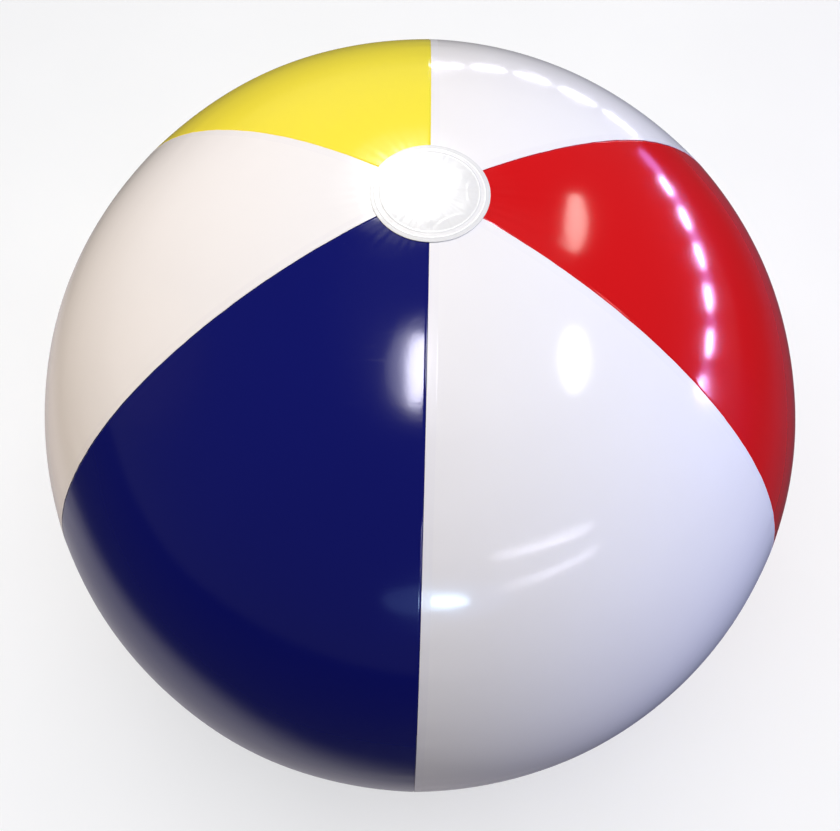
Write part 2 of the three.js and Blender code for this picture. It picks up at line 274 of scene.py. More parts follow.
def film_finish(name, colour, deep, gloss, smudges=0.05, dust=0.06, weld=0.3, **constants):
    """A vinyl finish. gloss is the roughness where nothing has touched the film."""
    material = bpy.data.materials.new(name)
    material.use_nodes = True
    tree = material.node_tree
    shader = tree.nodes["Principled BSDF"]
    for label, value in constants.items():
        shader.inputs[label.replace("_", " ")].default_value = value
    place = node(tree, "ShaderNodeTexCoord").outputs["Object"]
    across = node(tree, "ShaderNodeAttribute", attribute_name="weld").outputs["Fac"]
    grain = place_group(tree, GRAIN, vector=place, peel=0.25, waves=1.0, unevenness=0.07)
    marks = place_group(tree, MARKS, vector=place, smudges=smudges, scratches=0.03, dust=dust)
    press = place_group(tree, WELD, vector=place, across=across, pebbles=0.5, bead=0.5)

    deeper = node(tree, "ShaderNodeMix", data_type="RGBA")
    deeper.inputs["A"].default_value = (*colour, 1)
    deeper.inputs["B"].default_value = (*deep, 1)
    tree.links.new(maths(tree, "MULTIPLY", press.outputs["Mask"], weld), deeper.inputs["Factor"])
    toned = node(tree, "ShaderNodeMix", data_type="RGBA", blend_type="MULTIPLY")
    toned.inputs["Factor"].default_value = 1.0
    tree.links.new(deeper.outputs["Result"], toned.inputs["A"])
    tree.links.new(grain.outputs["Tone"], toned.inputs["B"])
    dusty = node(tree, "ShaderNodeMix", data_type="RGBA")
    dusty.inputs["B"].default_value = (0.55, 0.53, 0.5, 1)
    tree.links.new(maths(tree, "MULTIPLY", marks.outputs["Dust Mask"], 0.5), dusty.inputs["Factor"])
    tree.links.new(toned.outputs["Result"], dusty.inputs["A"])
    tree.links.new(dusty.outputs["Result"], shader.inputs["Base Color"])

    dull = maths(tree, "MULTIPLY_ADD", press.outputs["Mask"], 0.06, marks.outputs["Dullness"])
    tree.links.new(maths(tree, "ADD", dull, gloss, clamp=True), shader.inputs["Roughness"])

    coarse = node(tree, "ShaderNodeBump")
    coarse.inputs["Strength"].default_value = 0.1
    coarse.inputs["Distance"].default_value = 0.6 * MM
    tree.links.new(grain.outputs["Height"], coarse.inputs["Height"])
    fine = node(tree, "ShaderNodeBump")
    fine.inputs["Strength"].default_value = 0.3
    fine.inputs["Distance"].default_value = 0.12 * MM
    tree.links.new(press.outputs["Height"], fine.inputs["Height"])
    tree.links.new(coarse.outputs["Normal"], fine.inputs["Normal"])
    tree.links.new(fine.outputs["Normal"], shader.inputs["Normal"])
    return material


FINISHES = {
    "red_film": film_finish("red_vinyl", (0.62, 0.004, 0.006), (0.45, 0.003, 0.005), 0.11),
    "yellow_film": film_finish("yellow_vinyl", (0.90, 0.78, 0.055), (0.80, 0.58, 0.01), 0.13),
    "navy_film": film_finish("navy_vinyl", (0.0022, 0.0042, 0.13), (0.002, 0.004, 0.08), 0.12),
    "white_film": film_finish("white_vinyl", (0.87, 0.86, 0.88), (0.80, 0.79, 0.84), 0.11),
    "milky_film": film_finish("milky_vinyl", (0.84, 0.85, 0.86), (0.92, 0.92, 0.93), 0.17,
                              weld=0.8, Alpha=0.83),
    "valve_vinyl": film_finish("valve_vinyl", (0.80, 0.82, 0.86), (0.7, 0.72, 0.78), 0.32,
                               smudges=0.15),
}
print("finishes", list(FINISHES))

# %% [markdown]
# ## The skin as a formula
# Blown up hard, the film is a sphere. A sphere primitive would be too perfect: the stiff welds stand
# up as faint ridges, short puckers run off them and off the end patches, and the sheet between has
# slow waves. All of it is a height over the sphere, worked out for any point, so two pieces that lie
# on each other get the same relief and never cut through each other.
# %% Skin formula
RIDGE_HEIGHT = 0.3 * MM
RIDGE_SPREAD = 17 * MM
PUCKER_HEIGHT = 0.05 * MM
PUCKER_SPREAD = 22 * MM
WAVE_HEIGHT = 0.16 * MM
POLE_PUCKER = 0.018 * MM
POLE_SPREAD = 38 * MM

random = np.random.default_rng(7)
WAVES = [(random.normal(size=3), length, random.uniform(0, 2 * math.pi))
         for length in (0.30, 0.24, 0.19, 0.15, 0.12) for _ in range(3)]
PUCKERS = [(length, random.uniform(0, 2 * math.pi, 6)) for length in (0.041, 0.027, 0.0185, 0.0124)]
POLE_FOLDS = [(count, random.uniform(0, 2 * math.pi)) for count in (17, 26, 37, 53)]


def eased(step):
    return step * step * (3 - 2 * step)


def sphere(azimuth, colatitude):
    return np.stack([
        np.sin(colatitude) * np.cos(azimuth),
        np.sin(colatitude) * np.sin(azimuth),
        np.cos(colatitude) * np.ones_like(azimuth),
    ], axis=-1)


def relief(azimuth, colatitude):
    """Height of the blown-up skin over the true sphere."""
    ring = RADIUS * np.sin(colatitude)
    turns = (azimuth - PANEL_ANGLE / 2) / PANEL_ANGLE
    seam = np.round(turns)
    share = np.abs(turns - seam) * 2
    away = share * PANEL_ANGLE / 2 * ring
    ends = eased(np.clip(ring / PATCH_RADIUS, 0, 1))
    height = RIDGE_HEIGHT * ends * np.exp(-away / RIDGE_SPREAD)
    along = colatitude * RADIUS
    for length, phases in PUCKERS:
        phase = phases[seam.astype(int) % 6]
        spread = PUCKER_SPREAD * length / PUCKERS[0][0] + 4 * MM  # short puckers die out sooner
        fade = ends * (1 - eased(share)) * np.exp(-away / spread)
        height = height + PUCKER_HEIGHT * fade * np.sin(along * 2 * math.pi / length + phase)
    direction = sphere(azimuth, colatitude)
    for axis, length, phase in WAVES:
        way = direction @ (axis / np.linalg.norm(axis)) * RADIUS
        height = height + WAVE_HEIGHT * (length / 0.3) * np.sin(way * 2 * math.pi / length + phase)
    from_patch = np.clip(ring - PATCH_RADIUS, 0, None)
    for count, phase in POLE_FOLDS:
        fade = ends * np.exp(-from_patch / POLE_SPREAD)
        height = height + POLE_PUCKER * fade * np.sin(azimuth * count + phase)
    under = np.clip((math.pi - colatitude - CONTACT_ANGLE) * RADIUS / (40 * MM), 0, 1)
    return height * under


def skin(azimuth, colatitude, depth):
    """Points of the skin. depth counts inwards from the outer face of the panels."""
    out = RADIUS + relief(azimuth, colatitude) - depth
    points = sphere(azimuth, colatitude) * out[..., None]
    pressed = math.pi - colatitude < CONTACT_ANGLE + 1e-6
    flat = depth - RADIUS * math.cos(CONTACT_ANGLE)
    points[..., 2] = np.where(pressed, flat, points[..., 2]) + CENTRE
    return points


check = relief(np.linspace(0, 2 * math.pi, 720), np.full(720, math.pi / 2))
print(f"relief on the equator from {check.min() / MM:.2f} to {check.max() / MM:.2f} mm")

# %% [markdown]
# ## Making a film mesh
# A film is two sheets of points, one on its outer and one on its inner face, joined along the rim.
# Blender's Solidify could give the thickness, but then the inner face would not follow the formula.
# %% Film mesh helpers
def smooth_object(name, vertices, faces, weld=None, sharp=35.0):
    mesh = bpy.data.meshes.new(name)
    mesh.from_pydata(vertices, [], faces)
    mesh.shade_smooth()
    mesh.set_sharp_from_angle(angle=math.radians(sharp))
    if weld is not None:
        layer = mesh.attributes.new("weld", "FLOAT", "POINT")
        layer.data.foreach_set("value", np.asarray(weld, np.float32))
    made = bpy.data.objects.new(name, mesh)
    scene.collection.objects.link(made)
    return made


def film_object(name, outer, inner, weld):
    """A closed film from two grids of points. The grids run eastwards, then northwards."""
    rows, columns = outer.shape[:2]
    index = np.arange(rows * columns).reshape(rows, columns)
    lower, upper = index[:-1], index[1:]
    top = np.stack([lower[:, :-1], lower[:, 1:], upper[:, 1:], upper[:, :-1]], -1).reshape(-1, 4)
    bottom = top[:, ::-1] + rows * columns
    rim = np.concatenate([index[0, :], index[1:, -1], index[-1, -2::-1], index[-2:0:-1, 0]])
    after = np.roll(rim, -1)
    side = np.stack([rim + rows * columns, after + rows * columns, after, rim], -1)
    faces = np.concatenate([top, bottom, side]).tolist()
    points = np.concatenate([outer.reshape(-1, 3), inner.reshape(-1, 3)])
    return smooth_object(name, points.tolist(), faces, np.tile(weld.reshape(-1), 2))


# %% [markdown]
# ## The valve's own frame
# The valve sits on a flat spot a little under the equator. Its axis is the axis of the joint that
# pops it out, and its welded flange gives its place. Points of the valve are worked out along that
# axis, from 0 at the outer face of the panel.
# %% Valve frame
FLANGE_MIDDLE = 1.0 * MM  # depth of the middle of the flange's film
pop = next(joint for joint in frame["joints"] if joint["name"] == "valve_pop")
valve_out = Vector(pop["axis"]).normalized()
valve_east = Vector((0, 0, 1)).cross(valve_out).normalized()
valve_north = valve_out.cross(valve_east)
low, high = (Vector(corner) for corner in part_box("valve_flange"))
valve_place = (low + high) / 2 + valve_out * FLANGE_MIDDLE
VALVE_AXES = np.array([valve_east, valve_north, valve_out])
VALVE_PLACE = np.array(valve_place)


def to_valve(points):
    return (points - VALVE_PLACE) @ VALVE_AXES.T


def from_valve(points):
    return np.asarray(points) @ VALVE_AXES + VALVE_PLACE


VALVE_COLATITUDE = math.acos((valve_place - middle).normalized().z)
under_sphere = RADIUS - (valve_place - middle).length
print(f"valve at {[round(v, 4) for v in valve_place]}, {under_sphere / MM:.2f} mm under the sphere")

# %% [markdown]
# ## The panels
# A real panel is cut flat, about 0.4 m wide and 1.2 m long with pointed ends, and is stretched round
# by the air. A cloth simulation of that would settle to the same sphere, so the panel is laid on the
# formula directly. A white panel ends at the seam. A coloured one dips and runs on under it, which
# leaves the fine dark groove that shows along every seam.
# %% Panel grid
MAIN_STRIPS = 60
MAIN_ROWS = 190
# Grid lines beside each seam, by their distance inwards from it.
WHITE_EDGE = np.array([0, 0.15, 0.5, 1.2, 2.4, 3.6, 4.8, 5.6, 6.0, 6.5, 7.2]) * MM
COLOUR_EDGE = np.array(
    [-6, -4, -2, -0.8, -0.45, 0.1, 0.4, 0.7, 1.0, 1.3, 1.6, 2.0, 2.6, 3.6, 5.2]) * MM
GROOVE_FLOOR = -0.45 * MM  # the coloured film is fully down here, under the white edge
GROOVE_LIP = 1.6 * MM  # and starts to dip here
FINE_REACH = 24 * MM  # round the valve
FINE_STEP = 1.0 * MM
TIP_STEPS = np.array([0.012, 0.05, 0.11, 0.19, 0.29, 0.41, 0.55, 0.72, 0.88])


def finer_near(values, centre, reach, step):
    """Sorted values with an even, finer run put in around a centre."""
    fine = np.arange(centre - reach, centre + reach + step / 2, step)
    outside = values[np.abs(values - centre) > reach + step]
    return np.sort(np.concatenate([outside, fine]))


def panel_rows(with_valve):
    """Colatitude and share of the full width for each row, from the lower tip to the upper one."""
    tip_angle = np.arcsin((TIP_RADIUS + TIP_STEPS * TIP_OVERLAP) / RADIUS)
    tip_width = np.sqrt(1 - (1 - TIP_STEPS) ** 2)
    patch_angle = math.asin(PATCH_RADIUS / RADIUS)
    main = np.linspace(math.pi - patch_angle, patch_angle, MAIN_ROWS + 1)
    if with_valve:
        main = finer_near(main, VALVE_COLATITUDE, FINE_REACH / RADIUS, FINE_STEP / RADIUS)[::-1]
    colatitude = np.concatenate([math.pi - tip_angle, main, tip_angle[::-1]])
    width = np.concatenate([tip_width, np.ones(len(main)), tip_width[::-1]])
    return colatitude[:, None], width[:, None]


def panel_grid(azimuth, over, with_valve):
    """Azimuth, colatitude, depth and distance from the nearer seam over one panel."""
    colatitude, width = panel_rows(with_valve)
    ring = RADIUS * np.sin(colatitude)
    edge = WHITE_EDGE if over else COLOUR_EDGE
    even = np.linspace(0, 1, MAIN_STRIPS + 1)[1:-1]
    share = 0.5 * even + 0.25 * (1 - np.cos(math.pi * even))  # closer together near the seams
    half = PANEL_ANGLE / 2
    if with_valve:
        panel_width = PANEL_ANGLE * RADIUS * math.sin(VALVE_COLATITUDE)
        share = finer_near(share, 0.5, FINE_REACH / panel_width, FINE_STEP / panel_width)
    west = -half + edge / ring
    span = half - edge[-1] / ring
    inside = -span + 2 * span * share
    offset = np.concatenate([west, inside, -west[:, ::-1]], axis=1) * width
    from_seam = (half * width - np.abs(offset)) * ring
    depth = np.zeros_like(offset)
    if not over:
        dip = np.clip((GROOVE_LIP - edge) / (GROOVE_LIP - GROOVE_FLOOR), 0, 1)
        down = eased(dip) * (FILM + PATCH_GAP)
        depth[:, :len(edge)] = down
        depth[:, -len(edge):] = down[::-1]
    return azimuth + offset, np.broadcast_to(colatitude, offset.shape), depth, from_seam


VALVE_WELD_RADIUS = 17.4 * MM
VALVE_WELD_HALF = 2.2 * MM
VALVE_WELD_DEPTH = 0.12 * MM


def flatten_at_valve(points, depth):
    """The stiff flange holds the film flat round the valve, and the sphere takes over further out."""
    local = to_valve(points)
    away = np.linalg.norm(local[..., :2], axis=-1)
    hold = 1 - eased(np.clip((away - 23 * MM) / (38 * MM), 0, 1))
    press = eased(np.clip(1.25 - np.abs(away - VALVE_WELD_RADIUS) / VALVE_WELD_HALF, 0, 0.5) * 2)
    flat = -depth - VALVE_WELD_DEPTH * press
    near = local[..., 2] > -50 * MM
    local[..., 2] = np.where(near, local[..., 2] * (1 - hold) + flat * hold, local[..., 2])
    return from_valve(local), away


def build_panel(node_name, azimuth, over, slot, with_valve=False):
    azimuths, colatitudes, depth, from_seam = panel_grid(azimuth, over, with_valve)
    outer = skin(azimuths, colatitudes, depth)
    inner = skin(azimuths, colatitudes, depth + FILM)
    weld = np.abs(from_seam - LAP / 2) / (LAP / 2) if over else 1.1 + np.abs(from_seam) / LAP
    if with_valve:
        outer, away = flatten_at_valve(outer, depth)
        inner, _ = flatten_at_valve(inner, depth + FILM)
        weld = np.minimum(weld, np.abs(away - VALVE_WELD_RADIUS) / VALVE_WELD_HALF)
    panel = film_object(node_name + "_film", outer, inner, weld)
    panel.data.materials.append(FINISHES[slot])
    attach(panel, "ball")
    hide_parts(node_name)
    return panel


PANEL_ORDER = [
    ("panel_red", "red_film"), ("panel_white_back", "white_film"), ("panel_yellow", "yellow_film"),
    ("panel_white_left", "white_film"), ("panel_navy", "navy_film"), ("panel_white_front", "white_film"),
]
panels = {}
for place_index, (node_name, slot) in enumerate(PANEL_ORDER):
    lies_over = slot == "white_film"
    has_valve = node_name == "panel_white_left"
    azimuth = place_index * PANEL_ANGLE
    panels[node_name] = build_panel(node_name, azimuth, lies_over, slot, has_valve)
    print(node_name, len(panels[node_name].data.polygons), "faces")

# %% [markdown]
# The valve's mouth is a round hole in one white panel. It is cut with a boolean, because the hole
# crosses the rows of the panel's grid, and the film is flat there, so the cut stays clean.
# %% Hole for the valve
HOLE_RADIUS = 13.8 * MM
HOLE_SIDES = 96


def ring_points(radius, height, sides):
    angle = np.arange(sides) * 2 * math.pi / sides
    return np.stack([radius * np.cos(angle), radius * np.sin(angle), np.full(sides, height)], -1)


def cut_hole(panel):
    lower = ring_points(HOLE_RADIUS, -8 * MM, HOLE_SIDES)
    upper = ring_points(HOLE_RADIUS, 8 * MM, HOLE_SIDES)
    points = from_valve(np.concatenate([lower, upper]))
    count = HOLE_SIDES
    faces = [[i, (i + 1) % count, count + (i + 1) % count, count + i] for i in range(count)]
    faces += [list(range(count))[::-1], [count + i for i in range(count)]]
    cutter = smooth_object("cutter", points.tolist(), faces)
    cut = panel.modifiers.new("hole", "BOOLEAN")
    cut.object = cutter
    cut.operation = "DIFFERENCE"
    cut.solver = "EXACT"
    graph = bpy.context.evaluated_depsgraph_get()
    mesh = bpy.data.meshes.new_from_object(panel.evaluated_get(graph))
    mesh.set_sharp_from_angle(angle=math.radians(35))
    panel.modifiers.clear()
    panel.data = mesh
    bpy.data.objects.remove(cutter)


cut_hole(panels["panel_white_left"])
print("valve panel", len(panels["panel_white_left"].data.polygons), "faces after the cut")

# %% [markdown]
# ## The end patches
# A patch is a disc of thicker milky film, welded over the six tips. It follows the rounded tips, and
# sags a little into the gaps between them and over the open middle, where there is no other layer.
# The die presses a narrow ring near its edge. The lower patch is pressed flat by the floor.
# %% End patches
PATCH_SECTORS = 240
PATCH_RINGS = 90
RING_OUTSIDE = PATCH_RADIUS - 3.4 * MM
RING_INSIDE = RING_OUTSIDE - 2.6 * MM
RING_DEPTH = 0.04 * MM
RING_LIP = 0.06 * MM
GAP_SAG = 0.06 * MM
DEEPEST_SAG = 0.26 * MM  # of the inner face, which stays clear of the tips
ROLLED_EDGE = 0.04 * MM
ROLLED_WIDTH = 0.8 * MM


def tip_cover(radius, azimuth):
    """1 where a panel's tip lies under the patch, 0 where nothing does, smooth between."""
    step = np.clip((radius - TIP_RADIUS) / TIP_OVERLAP, 0, 1)
    half = PANEL_ANGLE / 2 * np.sqrt(1 - (1 - step) ** 2)
    turn = azimuth / PANEL_ANGLE
    from_middle = np.abs(turn - np.round(turn)) * PANEL_ANGLE
    inside = np.minimum((half - from_middle) * radius, radius - TIP_RADIUS)
    return eased(np.clip((inside + 2.0 * MM) / (3.2 * MM), 0, 1))


def pressed_ring(radius):
    """Height of the pressed ring: a shallow groove with a rounded lip on both sides."""
    ring_middle = (RING_OUTSIDE + RING_INSIDE) / 2
    ring_half = (RING_OUTSIDE - RING_INSIDE) / 2
    away = np.abs(radius - ring_middle) - ring_half
    groove = -RING_DEPTH * eased(np.clip(0.5 - away / (0.7 * MM), 0, 1))
    lip = RING_LIP * np.exp(-(((away - 0.55 * MM) / (0.38 * MM)) ** 2))
    return groove + lip


def build_patch(node_name, on_top):
    radii = np.linspace(0, PATCH_RADIUS, PATCH_RINGS + 1)[1:]
    radii = finer_near(radii, (RING_OUTSIDE + RING_INSIDE) / 2, 2.4 * MM, 0.15 * MM)
    azimuth = np.arange(PATCH_SECTORS) * 2 * math.pi / PATCH_SECTORS
    radius, azimuth = (g.astype(float) for g in np.meshgrid(radii, azimuth, indexing="ij"))
    angle = np.arcsin(radius / RADIUS)
    colatitude = angle if on_top else math.pi - angle
    cover = tip_cover(radius, azimuth)
    rolled = ROLLED_EDGE * eased(np.clip(1 - (PATCH_RADIUS - radius) / ROLLED_WIDTH, 0, 1))
    height = pressed_ring(radius) - rolled
    if on_top:
        height = height - GAP_SAG * (1 - cover)
    else:
        height = np.minimum(height, 0)
    outer = skin(azimuth, colatitude, -(PATCH_PROUD + height))
    lift = np.minimum(height, 0) if on_top else 0 * height
    inner = skin(azimuth, colatitude, -(PATCH_GAP + np.maximum(lift, -DEEPEST_SAG)))
    weld = np.abs(radius - (RING_OUTSIDE + RING_INSIDE) / 2) / ((RING_OUTSIDE - RING_INSIDE) / 2)

    rings = len(radii)
    index = np.arange(rings * PATCH_SECTORS).reshape(rings, PATCH_SECTORS)
    nearer, further = index[:-1], index[1:]
    quads = np.stack([nearer, further, np.roll(further, -1, 1), np.roll(nearer, -1, 1)], -1)
    quads = quads.reshape(-1, 4)
    shift = rings * PATCH_SECTORS
    edge = index[-1]
    rim = np.stack([edge, edge + shift, np.roll(edge, -1) + shift, np.roll(edge, -1)], -1)
    if not on_top:
        quads, rim = quads[:, ::-1], rim[:, ::-1]
    under = quads[:, ::-1] + shift
    caps = [index[0].tolist(), (index[0][::-1] + shift).tolist()]
    if not on_top:
        caps = [cap[::-1] for cap in caps]
    points = np.concatenate([outer.reshape(-1, 3), inner.reshape(-1, 3)]).tolist()
    faces = np.concatenate([quads, under, rim]).tolist() + caps
    patch = smooth_object(node_name + "_film", points, faces, np.tile(weld.reshape(-1), 2))
    patch.data.materials.append(FINISHES["milky_film"])
    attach(patch, "ball")
    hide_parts(node_name)
    return patch


patches = [build_patch("end_patch_top", True), build_patch("end_patch_bottom", False)]
print("patches", [len(patch.data.polygons) for patch in patches])

# %% [markdown]
# ## The valve
# The valve is one soft moulding with rounded edges everywhere. Its parts are turned shapes, so each
# is a section whose corners are rounded by arcs, turned about the valve's axis.
# %% Turned shapes
VALVE_SIDES = 96


def rounded(corners, radius, steps=5):
    """A section [distance, height, ...] with each corner off the axis replaced by a small arc."""
    points = []
    count = len(corners)
    for i, corner in enumerate(corners):
        here = Vector(corner)
        before, after = Vector(corners[i - 1]), Vector(corners[(i + 1) % count])
        if corner[0] < 1e-9:
            points.append(tuple(here))
            continue
        cut = min(radius, (before - here).length / 2.2, (after - here).length / 2.2)
        start = here + (before - here).normalized() * cut
        end = here + (after - here).normalized() * cut
        for k in range(steps + 1):
            t = k / steps
            points.append(tuple(start * (1 - t) ** 2 + here * 2 * t * (1 - t) + end * t * t))
    return points


def turned_mesh(section, sides=VALVE_SIDES):
    """Vertices and faces of a section turned about the axis. It closes on itself or on the axis."""
    on_axis = section[0][0] < 1e-9
    vertices, rings = [], []
    for distance, height in section:
        if distance < 1e-9:
            rings.append([len(vertices)])
            vertices.append((0.0, 0.0, height))
            continue
        rings.append(list(range(len(vertices), len(vertices) + sides)))
        vertices += ring_points(distance, height, sides).tolist()
    pairs = list(zip(rings, rings[1:])) + ([] if on_axis else [(rings[-1], rings[0])])
    faces = []
    for a, b in pairs:
        for k in range(sides):
            n = (k + 1) % sides
            if len(a) == 1 and len(b) == 1:
                continue
            if len(a) == 1:
                faces.append([a[0], b[n], b[k]])
            elif len(b) == 1:
                faces.append([a[k], a[n], b[0]])
            else:
                faces.append([a[k], a[n], b[n], b[k]])
    return np.array(vertices), faces


NO_WELD = 9.0  # far outside any weld band


def valve_piece(name, vertices, faces, body, node_name):
    """A piece of the moulding, from points in the valve's frame. A piece given no body is left
    unattached.
    """
    places = from_valve(vertices).tolist()
    piece = smooth_object(name, places, faces, np.full(len(vertices), NO_WELD))
    piece.data.materials.append(FINISHES["valve_vinyl"])
    if body:
        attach(piece, body)
    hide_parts(node_name)
    return piece


# %% [markdown]
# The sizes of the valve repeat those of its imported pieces, along the same axis.
# %% Valve sizes
STEM_RADIUS = 6.0 * MM
BORE_RADIUS = 3.8 * MM
RIM_RADIUS = 7.2 * MM
RIM_TOP = -2.1 * MM
RIM_HEIGHT = 1.2 * MM
CUP_TOP = -0.6 * MM
CUP_BOTTOM = -10.6 * MM
CUP_MOUTH = 13.1 * MM
CUP_FOOT = 6.3 * MM
CUP_FILM = 0.5 * MM
STEM_BOTTOM = -13.6 * MM
HEAD_TOP = 0.4 * MM
HEAD_BOTTOM = -1.8 * MM
SPIGOT_RADIUS = 3.65 * MM
SPIGOT_END = -6.3 * MM
TAB_END = 10.6 * MM
TAB_WIDTH = 5.0 * MM
TAB_THICKNESS = 1.0 * MM
STRAP_WIDTH = 4.0 * MM
STRAP_THICKNESS = 0.8 * MM

# %% [markdown]
# The stem is a short tube with a rim, on which the plug's head seats.
# %% Stem
under_rim = RIM_TOP - RIM_HEIGHT
stem_section = [(BORE_RADIUS, STEM_BOTTOM), (STEM_RADIUS, STEM_BOTTOM)]
stem_section += [(STEM_RADIUS, under_rim), (RIM_RADIUS, under_rim)]
stem_section += [(RIM_RADIUS, RIM_TOP), (BORE_RADIUS, RIM_TOP)]
stem_mesh = turned_mesh(rounded(stem_section, 0.35 * MM))
stem = valve_piece("valve_stem_tube", *stem_mesh, "stem", "valve_stem")
print("stem", len(stem.data.polygons), "faces")

# %% [markdown]
# The cup is the soft cone that turns inside out when the stem is pulled. It has three shallow folds
# round it, where it is used to bending. It belongs to the panel at its mouth and to the stem at its
# foot, and is attached to neither here.
# %% Cup
CUP_STEPS = 36
CUP_FOLD = 0.28 * MM


def cup_line(offset):
    line = []
    for k in range(CUP_STEPS + 1):
        share = k / CUP_STEPS
        fold = CUP_FOLD * math.sin(share * 6 * math.pi) * math.sin(share * math.pi)
        distance = CUP_FOOT + (CUP_MOUTH - CUP_FILM - CUP_FOOT) * share
        line.append((distance + fold + offset, CUP_BOTTOM + (CUP_TOP - CUP_BOTTOM) * share))
    return line


cup_section = cup_line(CUP_FILM) + cup_line(0.0)[::-1]
cup = valve_piece("valve_cup_film", *turned_mesh(cup_section), None, "valve_cup")
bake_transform(cup)
print("cup", len(cup.data.polygons), "faces")

# %% [markdown]
# The plug has a round head with a shallow channel round a button, and a spigot with a sealing bead.
# The channel and the bead are part of the section, so one turned mesh holds them all.
# %% Plug
neck = SPIGOT_RADIUS - 0.12 * MM  # the bead stands this far out of the spigot
channel = HEAD_TOP - 0.35 * MM
button = HEAD_TOP - 0.05 * MM
plug_section = [(0, SPIGOT_END), (SPIGOT_RADIUS - 0.5 * MM, SPIGOT_END)]
plug_section += [(neck, SPIGOT_END + 1.0 * MM), (SPIGOT_RADIUS, SPIGOT_END + 1.5 * MM)]
plug_section += [(neck, SPIGOT_END + 2.0 * MM), (neck, HEAD_BOTTOM)]
plug_section += [(RIM_RADIUS, HEAD_BOTTOM), (RIM_RADIUS, HEAD_TOP)]
plug_section += [(5.9 * MM, HEAD_TOP), (5.5 * MM, channel), (2.6 * MM, channel)]
plug_section += [(2.2 * MM, button), (0, button)]
plug_mesh = turned_mesh(rounded(plug_section, 0.3 * MM))
plug = valve_piece("valve_plug_head", *plug_mesh, "plug", "valve_plug")
print("plug", len(plug.data.polygons), "faces")

# %% [markdown]
# The finger tab is a small plate with a round end and rounded edges. A bevelled box would do, but a
# loft of outlines, each a little smaller towards the top and bottom, keeps the round end smooth.
# %% Finger tab
TAB_START = 6.4 * MM  # inside the head's edge
TAB_TOP = HEAD_TOP - TAB_THICKNESS / 2
TAB_ROUNDING = 0.3 * MM


def plate(outline, low_z, high_z, lip):
    """A closed plate with rounded upper and lower edges from a flat outline."""
    outline = np.asarray(outline)
    heart = outline.mean(axis=0)
    levels = []
    for share in (0.0, 0.3, 0.7, 1.0):
        inset = lip * (1 - math.sqrt(1 - (1 - share) ** 2))
        levels.append((low_z + lip * share, inset))
    levels += [(high_z + low_z - z, inset) for z, inset in reversed(levels)]
    vertices = []
    for z, inset in levels:
        way = outline - heart
        reach = np.linalg.norm(way, axis=1, keepdims=True)
        smaller = heart + way * (reach - inset) / reach
        vertices.append(np.column_stack([smaller, np.full(len(outline), z)]))
    count = len(outline)
    faces = [list(range(count))[::-1], [(len(levels) - 1) * count + i for i in range(count)]]
    for level in range(len(levels) - 1):
        a, b = level * count, (level + 1) * count
        faces += [[a + i, a + (i + 1) % count, b + (i + 1) % count, b + i] for i in range(count)]
    return np.concatenate(vertices), faces


half_tab = TAB_WIDTH / 2
tab_outline = [(-TAB_START, -half_tab)]
for turn in np.linspace(-math.pi / 2, math.pi / 2, 25):
    tab_outline.append((-TAB_END + half_tab * (1 - math.cos(turn)) * 0.8, half_tab * math.sin(turn)))
tab_outline.append((-TAB_START, half_tab))
tab_points, tab_faces = plate(tab_outline[::-1], TAB_TOP - TAB_THICKNESS, TAB_TOP, TAB_ROUNDING)
tab_places = from_valve(tab_points).tolist()
tab = smooth_object("plug_tab", tab_places, tab_faces, np.full(len(tab_points), NO_WELD))
tab.data.materials.append(FINISHES["valve_vinyl"])
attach(tab, "plug")
print("tab", len(tab.data.polygons), "faces")

# %% [markdown]
# The strap is a flat band folded into a U beside the plug. One end belongs to the stem's rim and the
# other to the plug's head, and it is attached to neither here.
# %% Strap
STRAP_STEPS = 28
STRAP_REACH = 10.6 * MM
STRAP_ROOT = 0.15 * MM  # the ends of the strap start this far inside the rim


def strap_mesh():
    """A band with rounded edges, lofted along a U."""
    low_z = RIM_TOP - RIM_HEIGHT / 2
    high_z = (HEAD_TOP + HEAD_BOTTOM) / 2
    bend = (high_z - low_z) / 2
    bend_at = STRAP_REACH - bend - STRAP_THICKNESS / 2
    root = RIM_RADIUS - STRAP_ROOT
    path = [(root, low_z, 0.0, -1.0)]
    for turn in np.linspace(0, math.pi, STRAP_STEPS):
        out_x, out_z = math.sin(turn), -math.cos(turn)
        path.append((bend_at + bend * out_x, (low_z + high_z) / 2 + bend * out_z, out_x, out_z))
    path.append((root, high_z, 0.0, 1.0))
    squircle = []
    for turn in np.linspace(0, 2 * math.pi, 25)[:-1]:
        across, up = math.cos(turn), math.sin(turn)
        squircle.append((np.sign(across) * abs(across) ** 0.35, np.sign(up) * abs(up) ** 0.7))
    vertices = []
    for x, z, out_x, out_z in path:
        for wide, thick in squircle:
            reach = thick * STRAP_THICKNESS / 2
            vertices.append((x + out_x * reach, wide * STRAP_WIDTH / 2, z + out_z * reach))
    count = len(squircle)
    faces = [list(range(count)), [(len(path) - 1) * count + i for i in range(count)][::-1]]
    for step in range(len(path) - 1):
        a, b = step * count, (step + 1) * count
        faces += [[a + i, b + i, b + (i + 1) % count, a + (i + 1) % count] for i in range(count)]
    return np.array(vertices), faces


strap = valve_piece("plug_strap_band", *strap_mesh(), None, "plug_strap")
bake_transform(strap)
print("strap", len(strap.data.polygons), "faces")

# %% [markdown]
# The flange and the check flap are inside the ball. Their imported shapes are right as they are, so
# they stay, and only take the finish of the moulding.
# %% Inner pieces
for node_name in ("valve_flange", "check_flap"):
    kept = frame["nodes"][node_name]
    kept.data.materials.clear()
    kept.data.materials.append(FINISHES["valve_vinyl"])
    print(node_name, "keeps its packed shape")
